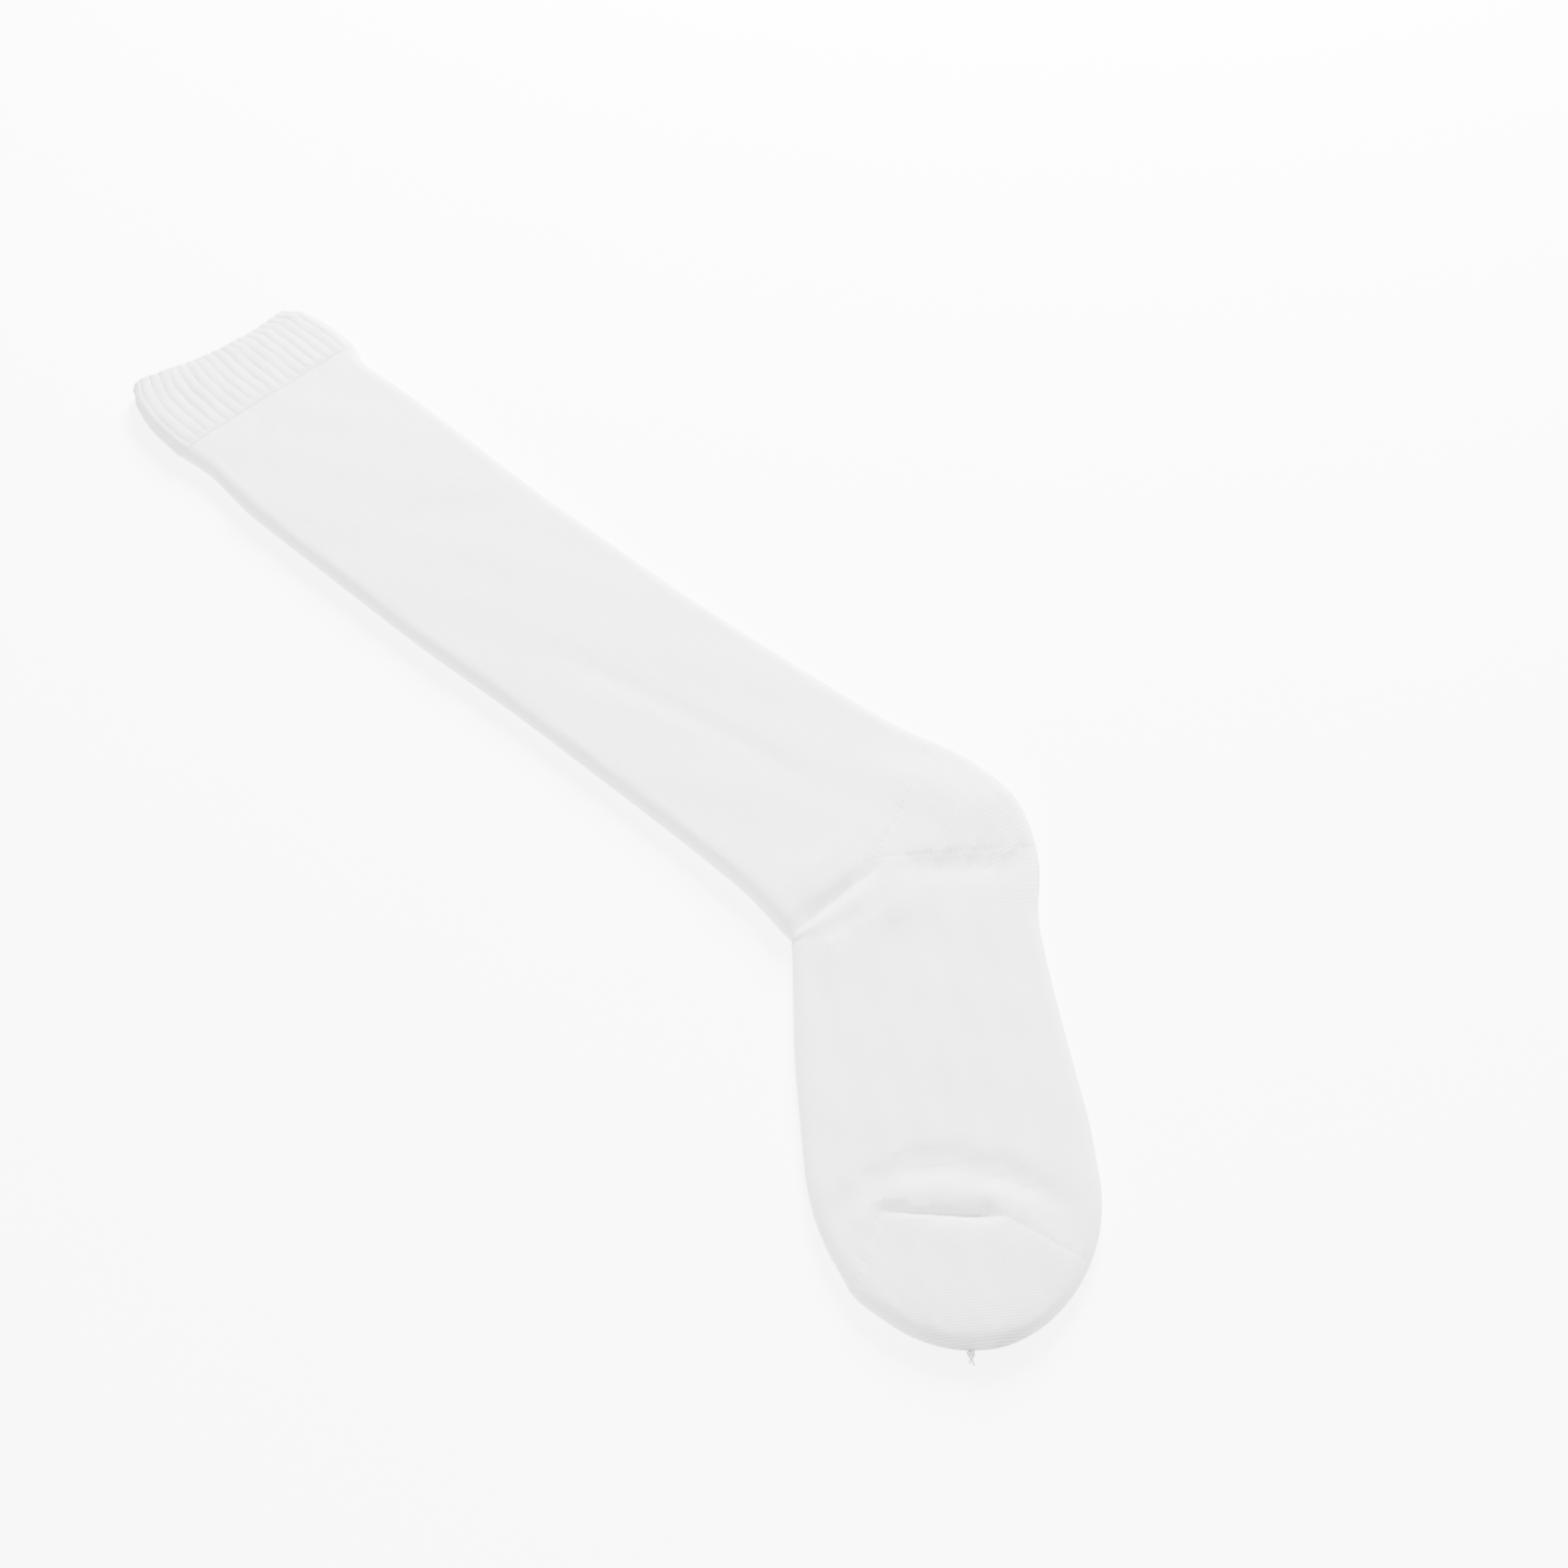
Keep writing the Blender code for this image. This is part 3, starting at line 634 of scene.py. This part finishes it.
def sink_seams(tube):
    """Sinks the gore lines and the toe seam into the upper face."""
    count = len(tube.data.vertices)
    flat = np.empty(count * 3)
    tube.data.vertices.foreach_get("co", flat)
    flat = flat.reshape(-1, 3)
    own = flat - SHIFT
    upper = np.clip((own[:, 2] - 0.5 * LOFT) / (0.35 * LOFT), 0.0, 1.0)
    near = upper > 0
    sunk = np.zeros(count)
    sunk[near] = seam_relief(own[near][:, :2]) * upper[near]
    flat[:, 2] -= sunk
    tube.data.vertices.foreach_set("co", flat.ravel())
    tube.data.update()


def knit_pieces():
    """Leg and foot, heel pocket and toe cap, parted along their knitted boundaries."""
    tube = plain_tube()
    empty_selection()
    tube.select_set(True)
    bpy.context.view_layer.objects.active = tube
    bpy.ops.object.mode_set(mode="EDIT")
    bpy.ops.mesh.select_mode(type="VERT")
    bpy.ops.mesh.select_all(action="SELECT")
    bpy.ops.mesh.remove_doubles(threshold=0.000004)
    bpy.ops.mesh.normals_make_consistent(inside=False)
    bpy.ops.mesh.select_mode(type="FACE")
    for line in (HEEL_LINE, TOE_LINE):
        refine_near(tube, line, 0.0035)
        refine_near(tube, line, 0.0018)
        split_along(tube, line)
    bpy.ops.object.mode_set(mode="OBJECT")
    sink_seams(tube)
    bpy.ops.object.mode_set(mode="EDIT")
    made = {}
    for name, line in (("heel_pocket_knit", HEEL_LINE), ("toe_cap_knit", TOE_LINE)):
        bpy.ops.mesh.select_all(action="DESELECT")
        choose_faces(tube, inside_of(line))
        before = set(bpy.data.objects)
        bpy.ops.mesh.separate(type="SELECTED")
        part = (set(bpy.data.objects) - before).pop()
        part.name = name
        part.data.name = name
        made[name] = part
    bpy.ops.object.mode_set(mode="OBJECT")
    tube.name = "leg_and_foot_knit"
    tube.data.name = "leg_and_foot_knit"
    made["leg_and_foot_knit"] = tube
    for part in made.values():
        apply_wall(part, WALL)
        finish_mesh(part)
    return made


def upper_height(points):
    """The height of the upper face at places on the foot."""
    offset = points - FOOT_START
    distance = LEG_LENGTH + BEND_LENGTH + offset @ FOOT_AXIS
    _, high = face_heights(distance, offset @ FOOT_ACROSS, points)
    return high - seam_relief(points)


def yarn(name, route, thickness):
    """A round yarn along a route, as a closed mesh."""
    empty_selection()
    curve = bpy.data.curves.new(name, "CURVE")
    curve.dimensions = "3D"
    curve.bevel_depth = thickness / 2
    curve.bevel_resolution = 2
    curve.use_fill_caps = True
    spline = curve.splines.new("POLY")
    spline.points.add(len(route) - 1)
    for point, (x, y, z) in zip(spline.points, route):
        point.co = (x, y, z, 1.0)
    piece = bpy.data.objects.new(name, curve)
    bpy.context.scene.collection.objects.link(piece)
    piece.select_set(True)
    bpy.context.view_layer.objects.active = piece
    bpy.ops.object.convert(target="MESH")
    piece = bpy.context.object
    finish_mesh(piece)
    return piece


def toe_seam():
    """The linking yarn of the toe seam, crossing from side to side in its groove."""
    first, last = SEAM_LINE
    length = np.linalg.norm(last - first)
    run = (last - first) / length
    side = np.array([run[1], -run[0]])
    margin = SEAM_RUN_OUT * 0.6
    along = np.linspace(margin, length - margin, int((length - 2 * margin) / SEAM_STITCH) * 8)
    phase = 2 * math.pi * along / SEAM_STITCH
    points = first + run * along[:, None] + side * (0.00035 * np.sin(phase))[:, None]
    middle = first + run * along[:, None]
    heights = upper_height(middle) + 0.00035 + 0.00018 * np.cos(phase)
    route = np.column_stack([points, heights]) + SHIFT
    return yarn("toe_seam_yarn", route, SEAM_THREAD)


def yarn_end():
    """The knot of the closing yarn at the tip of the toe, with two short tails."""
    low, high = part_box("yarn_end")
    centre = (np.array(low) + np.array(high)) / 2
    turn = np.linspace(0.0, 2 * math.pi, 97)
    radius = KNOT_SIZE / 2 * (0.52 + 0.26 * np.cos(3 * turn))
    loop = np.column_stack([radius * np.cos(2 * turn), radius * np.sin(2 * turn),
                            KNOT_SIZE * 0.22 * np.sin(3 * turn)])
    axis = np.append(FOOT_AXIS, 0.0)
    across = np.append(FOOT_ACROSS, 0.0)
    tail = np.linspace(0.0, 1.0, 9)[1:, None]
    after = loop[-1] + tail * np.array([1.0, 0.25, -0.35]) * KNOT_SIZE * 0.75
    before = loop[0] + tail[::-1] * np.array([0.85, -0.55, -0.1]) * KNOT_SIZE * 0.6
    path = np.vstack([before, loop, after])
    route = centre + (path[:, :1] - 0.45 * KNOT_SIZE) * axis + path[:, 1:2] * across
    route[:, 2] = np.maximum(route[:, 2] + path[:, 2], KNOT_YARN)
    return yarn("yarn_end_knot", route, KNOT_YARN)


# Materials
def add_node(tree, kind, place_at, **settings):
    """A node at a place in its tree, with its settings."""
    made = tree.nodes.new(kind)
    made.location = place_at
    for name, value in settings.items():
        setattr(made, name, value)
    return made


def math_node(tree, operation, first, second=None, third=None, place_at=(0, 0)):
    """A Math node fed by sockets or numbers, and its output."""
    made = add_node(tree, "ShaderNodeMath", place_at, operation=operation)
    for socket, value in zip(made.inputs, (first, second, third)):
        if value is None:
            continue
        if isinstance(value, (int, float)):
            socket.default_value = value
        else:
            tree.links.new(value, socket)
    return made.outputs[0]


def stitch_group():
    """The V-shaped stitches of plain knit: their relief over the knit's own map, and the mask of their
    hollows that is painted as shade.
    """
    tree = bpy.data.node_groups.new("knit stitches", "ShaderNodeTree")
    tree.interface.new_socket("Map", in_out="INPUT", socket_type="NodeSocketVector")
    tree.interface.new_socket("Slant", in_out="INPUT", socket_type="NodeSocketFloat")
    tree.interface.new_socket("Fuzz", in_out="INPUT", socket_type="NodeSocketFloat")
    tree.interface.new_socket("Relief", in_out="OUTPUT", socket_type="NodeSocketFloat")
    tree.interface.new_socket("Hollow shade", in_out="OUTPUT", socket_type="NodeSocketFloat")
    start = add_node(tree, "NodeGroupInput", (-1200, 0))
    end = add_node(tree, "NodeGroupOutput", (900, 0))
    parts = add_node(tree, "ShaderNodeSeparateXYZ", (-1000, 0))
    tree.links.new(start.outputs["Map"], parts.inputs[0])
    across = math_node(tree, "PINGPONG", parts.outputs[0], 0.5, place_at=(-800, 100))
    across = math_node(tree, "MULTIPLY", across, 2.0, place_at=(-620, 100))
    leg = math_node(tree, "SINE", math_node(tree, "MULTIPLY", across, math.pi, place_at=(-440, 180)),
                    place_at=(-260, 180))
    leaning = math_node(tree, "MULTIPLY_ADD", across, start.outputs["Slant"], parts.outputs[1],
                        place_at=(-440, -60))
    turned = math_node(tree, "MULTIPLY", leaning, 2 * math.pi, place_at=(-260, -60))
    course = math_node(tree, "COSINE", turned, place_at=(-80, -60))
    course = math_node(tree, "MULTIPLY_ADD", course, 0.22, 0.78, place_at=(100, -60))
    stitch = math_node(tree, "MULTIPLY", leg, course, place_at=(280, 60))
    where = add_node(tree, "ShaderNodeTexCoord", (-1000, -400))
    fibres = add_node(tree, "ShaderNodeTexNoise", (-800, -400))
    fibres.inputs["Scale"].default_value = 1900.0
    fibres.inputs["Detail"].default_value = 3.0
    tree.links.new(where.outputs["Object"], fibres.inputs["Vector"])
    fuzz = math_node(tree, "MULTIPLY", fibres.outputs[0], start.outputs["Fuzz"], place_at=(280, -300))
    relief = math_node(tree, "ADD", stitch, fuzz, place_at=(480, 0))
    hollow_shade_mask = math_node(tree, "SUBTRACT", 1.0, stitch, place_at=(480, 200))
    tree.links.new(relief, end.inputs["Relief"])
    tree.links.new(hollow_shade_mask, end.inputs["Hollow shade"])
    return tree


def tone_group():
    """The soft change of tone over a cotton knit, from handling and uneven yarn."""
    tree = bpy.data.node_groups.new("cotton tone", "ShaderNodeTree")
    tree.interface.new_socket("Size", in_out="INPUT", socket_type="NodeSocketFloat")
    tree.interface.new_socket("Tone", in_out="OUTPUT", socket_type="NodeSocketFloat")
    start = add_node(tree, "NodeGroupInput", (-800, 0))
    end = add_node(tree, "NodeGroupOutput", (400, 0))
    where = add_node(tree, "ShaderNodeTexCoord", (-800, -200))
    clouds = add_node(tree, "ShaderNodeTexNoise", (-560, 0))
    clouds.inputs["Detail"].default_value = 4.0
    tree.links.new(where.outputs["Object"], clouds.inputs["Vector"])
    tree.links.new(start.outputs["Size"], clouds.inputs["Scale"])
    slubs = add_node(tree, "ShaderNodeTexNoise", (-560, -300))
    slubs.inputs["Scale"].default_value = 420.0
    slubs.inputs["Detail"].default_value = 2.0
    tree.links.new(where.outputs["Object"], slubs.inputs["Vector"])
    mixed = math_node(tree, "MULTIPLY_ADD", slubs.outputs[0], 0.35, clouds.outputs[0], place_at=(-200, 0))
    spread = add_node(tree, "ShaderNodeMapRange", (100, 0))
    spread.inputs["From Min"].default_value = 0.35
    spread.inputs["From Max"].default_value = 1.0
    tree.links.new(mixed, spread.inputs["Value"])
    tree.links.new(spread.outputs[0], end.inputs["Tone"])
    return tree


STITCHES = stitch_group()
TONE = tone_group()


def knit_material(name, light, shaded, relief, slant=0.45, fuzz=0.35, hollow_shade_amount=0.10, cloud_size=26.0):
    """White cotton knit: stitches from the knit's map, soft tone, painted shade in the stitches' hollows and
    a little sheen.
    """
    material = bpy.data.materials.new(name)
    material.use_nodes = True
    tree = material.node_tree
    shader = tree.nodes["Principled BSDF"]
    shader.inputs["Roughness"].default_value = 0.92
    shader.inputs["Specular IOR Level"].default_value = 0.25
    shader.inputs["Sheen Weight"].default_value = 0.18
    shader.inputs["Sheen Roughness"].default_value = 0.55
    map_node = add_node(tree, "ShaderNodeUVMap", (-1100, -200), uv_map="knit")
    stitches = add_node(tree, "ShaderNodeGroup", (-850, -200), node_tree=STITCHES)
    stitches.inputs["Slant"].default_value = slant
    stitches.inputs["Fuzz"].default_value = fuzz
    tree.links.new(map_node.outputs[0], stitches.inputs["Map"])
    tone = add_node(tree, "ShaderNodeGroup", (-850, 200), node_tree=TONE)
    tone.inputs["Size"].default_value = cloud_size
    # painted shade: the base colour darkens in the hollows between the stitches, added to the random tone
    painted_hollow_shade = math_node(tree, "MULTIPLY", stitches.outputs["Hollow shade"], hollow_shade_amount, place_at=(-600, 0))
    tone_and_hollow_shade = math_node(tree, "MULTIPLY_ADD", tone.outputs["Tone"], 0.35, painted_hollow_shade, place_at=(-420, 100))
    mix = add_node(tree, "ShaderNodeMix", (-240, 200), data_type="RGBA")
    mix.inputs[6].default_value = (*light, 1.0)
    # the shaded colour is both the yarn's darker random tone and the painted shade of the hollows
    mix.inputs[7].default_value = (*shaded, 1.0)
    tree.links.new(tone_and_hollow_shade, mix.inputs[0])
    tree.links.new(mix.outputs[2], shader.inputs["Base Color"])
    bump = add_node(tree, "ShaderNodeBump", (-240, -200))
    bump.inputs["Strength"].default_value = 1.0
    bump.inputs["Distance"].default_value = relief
    tree.links.new(stitches.outputs["Relief"], bump.inputs["Height"])
    tree.links.new(bump.outputs[0], shader.inputs["Normal"])
    return material


def yarn_material(name, light, shaded):
    """Bare twisted yarn: fine fibres from noise."""
    material = bpy.data.materials.new(name)
    material.use_nodes = True
    tree = material.node_tree
    shader = tree.nodes["Principled BSDF"]
    shader.inputs["Roughness"].default_value = 0.95
    shader.inputs["Sheen Weight"].default_value = 0.2
    where = add_node(tree, "ShaderNodeTexCoord", (-900, 0))
    fibres = add_node(tree, "ShaderNodeTexNoise", (-700, 0))
    fibres.inputs["Scale"].default_value = 3200.0
    tree.links.new(where.outputs["Object"], fibres.inputs["Vector"])
    mix = add_node(tree, "ShaderNodeMix", (-240, 200), data_type="RGBA")
    mix.inputs[6].default_value = (*light, 1.0)
    mix.inputs[7].default_value = (*shaded, 1.0)
    tree.links.new(fibres.outputs[0], mix.inputs[0])
    tree.links.new(mix.outputs[2], shader.inputs["Base Color"])
    bump = add_node(tree, "ShaderNodeBump", (-240, -200))
    bump.inputs["Distance"].default_value = 0.0001
    tree.links.new(fibres.outputs[0], bump.inputs["Height"])
    tree.links.new(bump.outputs[0], shader.inputs["Normal"])
    return material


def dress(piece, material, node):
    """Puts a piece in its node's place on the sock, with its material."""
    piece.data.materials.clear()
    piece.data.materials.append(material)
    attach(piece, "root")
    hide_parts(node)


def camera():
    """The camera at the photo's angle."""
    data = bpy.data.cameras.new("photo_camera")
    data.sensor_width = SENSOR_WIDTH
    data.lens = SENSOR_WIDTH * FOCAL_PIXELS / PHOTO_WIDTH
    data.clip_start = 0.01
    made = bpy.data.objects.new("photo_camera", data)
    bpy.context.scene.collection.objects.link(made)
    x, y = CAMERA_FROM_CUFF
    made.location = (x + SHIFT[0], y + SHIFT[1], CAMERA_HEIGHT)
    made.rotation_euler = (math.pi / 2 - CAMERA_PITCH, 0.0, -CAMERA_HEADING)
    bpy.context.scene.camera = made


def area_light(name, location, target, size, power):
    """A soft square light that faces a place."""
    data = bpy.data.lights.new(name, "AREA")
    data.shape = "SQUARE"
    data.size = size
    data.energy = power
    made = bpy.data.objects.new(name, data)
    bpy.context.scene.collection.objects.link(made)
    made.location = location
    run = np.array(target) - np.array(location)
    heading = math.atan2(-run[0], run[1])
    drop = math.atan2(math.hypot(run[0], run[1]), -run[2])
    made.rotation_euler = (drop, 0.0, heading)


def studio():
    """A plain white floor, soft light from above and behind, and an even sky."""
    empty_selection()
    bpy.ops.mesh.primitive_plane_add(size=6.0, location=(0.0, 0.0, -0.0002))
    floor = bpy.context.object
    floor.name = "studio_floor"
    white = bpy.data.materials.new("studio white")
    white.use_nodes = True
    shader = white.node_tree.nodes["Principled BSDF"]
    shader.inputs["Base Color"].default_value = (0.95, 0.95, 0.95, 1.0)
    shader.inputs["Emission Color"].default_value = (1.0, 1.0, 1.0, 1.0)
    shader.inputs["Emission Strength"].default_value = FLOOR_GLOW
    shader.inputs["Roughness"].default_value = 0.9
    shader.inputs["Specular IOR Level"].default_value = 0.1
    floor.data.materials.append(white)
    world = bpy.data.worlds.new("studio sky")
    world.use_nodes = True
    world.node_tree.nodes["Background"].inputs[0].default_value = (1.0, 1.0, 1.0, 1.0)
    world.node_tree.nodes["Background"].inputs[1].default_value = SKY_STRENGTH
    bpy.context.scene.world = world
    area_light("key_light", KEY_PLACE, (0.0, 0.0, 0.0), KEY_SIZE, KEY_POWER)
    area_light("foot_light", FOOT_LIGHT_PLACE, (0.0, -0.2, 0.0), FOOT_LIGHT_SIZE, FOOT_LIGHT_POWER)


SHIFT = find_shift()
camera()
studio()
cuff_piece = ribbed_cuff()
plain = knit_pieces()
dress(cuff_piece, knit_material("ribbed knit", (0.76, 0.76, 0.76), (0.64, 0.64, 0.65), 0.00022),
      "ribbed_cuff")
dress(plain["leg_and_foot_knit"],
      knit_material("plain knit", (0.78, 0.78, 0.78), (0.70, 0.70, 0.71), 0.00018),
      "leg_and_foot")
dress(plain["heel_pocket_knit"], knit_material("heel knit", (0.79, 0.79, 0.79), (0.71, 0.71, 0.72), 0.00018),
      "heel_pocket")
dress(plain["toe_cap_knit"], knit_material("toe knit", (0.79, 0.79, 0.80), (0.71, 0.71, 0.72), 0.00018),
      "toe_cap")
# painted shade: the linking yarn is coloured darker than the knit for the seam's dark line of shade; its
# fibre noise is its own tone
dress(toe_seam(), yarn_material("linking yarn with painted shade", (0.72, 0.72, 0.72), (0.5, 0.5, 0.5)),
      "toe_seam")
# painted shade: the knot's yarn is coloured dark grey to stand for the shadow at the toe's tip, not its own
# white
dress(yarn_end(), yarn_material("knot yarn painted as shade", (0.5, 0.5, 0.5), (0.3, 0.3, 0.3)), "yarn_end")
